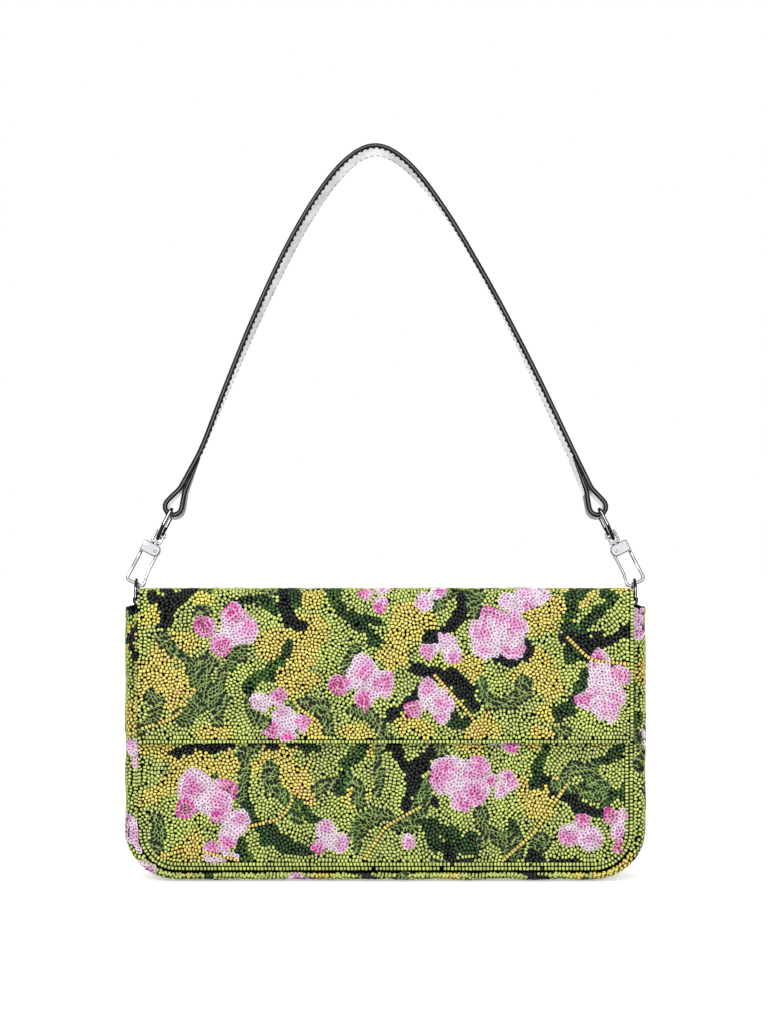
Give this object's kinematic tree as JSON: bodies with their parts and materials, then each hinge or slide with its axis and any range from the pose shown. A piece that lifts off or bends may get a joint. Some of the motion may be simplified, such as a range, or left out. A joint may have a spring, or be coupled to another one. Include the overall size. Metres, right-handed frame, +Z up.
{
  "type": "beaded shoulder bag",
  "caption": "Slim flap bag covered in glass seed beads, with beaded gusset, lined pouch, side rings, lever snap clips and a short stitched leather strap.",
  "frame": {"origin": "middle of the base, on the surface that the bag stands on", "axes": "+Z up, the flap and front face -Y, +X to the right seen from the front"},
  "size_m": [0.2818, 0.0818, 0.4029],
  "materials": {
    "beaded_fabric": "glass seed beads and sequins sewn on cloth",
    "lining_fabric": "plain woven lining",
    "black_leather": "smooth, semi-gloss, painted edges",
    "board": "plain stiffening board",
    "chromed_zinc": "polished",
    "magnet_steel": "plain plated"
  },
  "bodies": {
    "bag": {"front_panel": "beaded_fabric", "back_panel": "beaded_fabric", "gusset": "beaded_fabric", "front_board": "board", "back_board": "board", "base_board": "board", "lining": "lining_fabric", "inner_pocket": "lining_fabric", "top_strip": "beaded_fabric", "magnet_socket": "magnet_steel", "tab_left": "black_leather", "tab_right": "black_leather"},
    "flap_top": {"flap_top": "beaded_fabric", "flap_top_lining": "lining_fabric"},
    "flap_front": {"flap_front": "beaded_fabric", "flap_front_lining": "lining_fabric", "magnet_stud": "magnet_steel"},
    "ring_left": {"d_ring_left": "chromed_zinc"},
    "ring_right": {"d_ring_right": "chromed_zinc"},
    "strap": {"strap_face": "black_leather", "strap_lining": "black_leather", "eye_left": "chromed_zinc", "eye_right": "chromed_zinc", "swivel_left": "chromed_zinc", "swivel_right": "chromed_zinc", "swivel_pin_left": "chromed_zinc", "swivel_pin_right": "chromed_zinc"},
    "clip_left": {"clip_body_left": "chromed_zinc", "gate_pin_left": "chromed_zinc"},
    "clip_right": {"clip_body_right": "chromed_zinc", "gate_pin_right": "chromed_zinc"},
    "gate_left": {"gate_left": "chromed_zinc"},
    "gate_right": {"gate_right": "chromed_zinc"}
  },
  "joints": [
    {"name": "flap_lift", "type": "hinge", "parent": "bag", "child": "flap_top", "pos_m": [0, 0.0075, 0.1569], "axis": [-1, 0, 0], "range_deg": [0, 90]},
    {"name": "flap_fold", "type": "hinge", "parent": "flap_top", "child": "flap_front", "pos_m": [0, -0.0289, 0.15475], "axis": [-1, 0, 0], "range_deg": [0, 75]},
    {"name": "ring_tilt_left", "type": "hinge", "parent": "bag", "child": "ring_left", "pos_m": [-0.1353, 0.012, 0.1488], "axis": [0, 1, 0], "range_deg": [0, 8]},
    {"name": "ring_tilt_right", "type": "hinge", "parent": "bag", "child": "ring_right", "pos_m": [0.1353, 0.012, 0.1488], "axis": [0, -1, 0], "range_deg": [0, 8]},
    {"name": "strap_swing", "type": "hinge", "parent": "bag", "child": "strap", "pos_m": [0, 0.012, 0.153], "axis": [-1, 0, 0], "range_deg": [-36, 40]},
    {"name": "clip_turn_left", "type": "hinge", "parent": "strap", "child": "clip_left", "pos_m": [-0.13626, 0.01261, 0.15733], "axis": [0.4462, 0.1246, 0.8862], "range_deg": [-20, 20]},
    {"name": "clip_turn_right", "type": "hinge", "parent": "strap", "child": "clip_right", "pos_m": [0.13626, 0.01261, 0.15733], "axis": [-0.4462, 0.1246, 0.8862], "range_deg": [-20, 20]},
    {"name": "gate_press_left", "type": "hinge", "parent": "clip_left", "child": "gate_left", "pos_m": [-0.12568, 0.01503, 0.17457], "axis": [0, 0.9903, -0.1392], "range_deg": [0, 25], "stiffness_Nm_per_rad": 0.01, "springref_deg": -17.19},
    {"name": "gate_press_right", "type": "hinge", "parent": "clip_right", "child": "gate_right", "pos_m": [0.12568, 0.01503, 0.17457], "axis": [0, -0.9903, 0.1392], "range_deg": [0, 25], "stiffness_Nm_per_rad": 0.01, "springref_deg": -17.19}
  ]
}
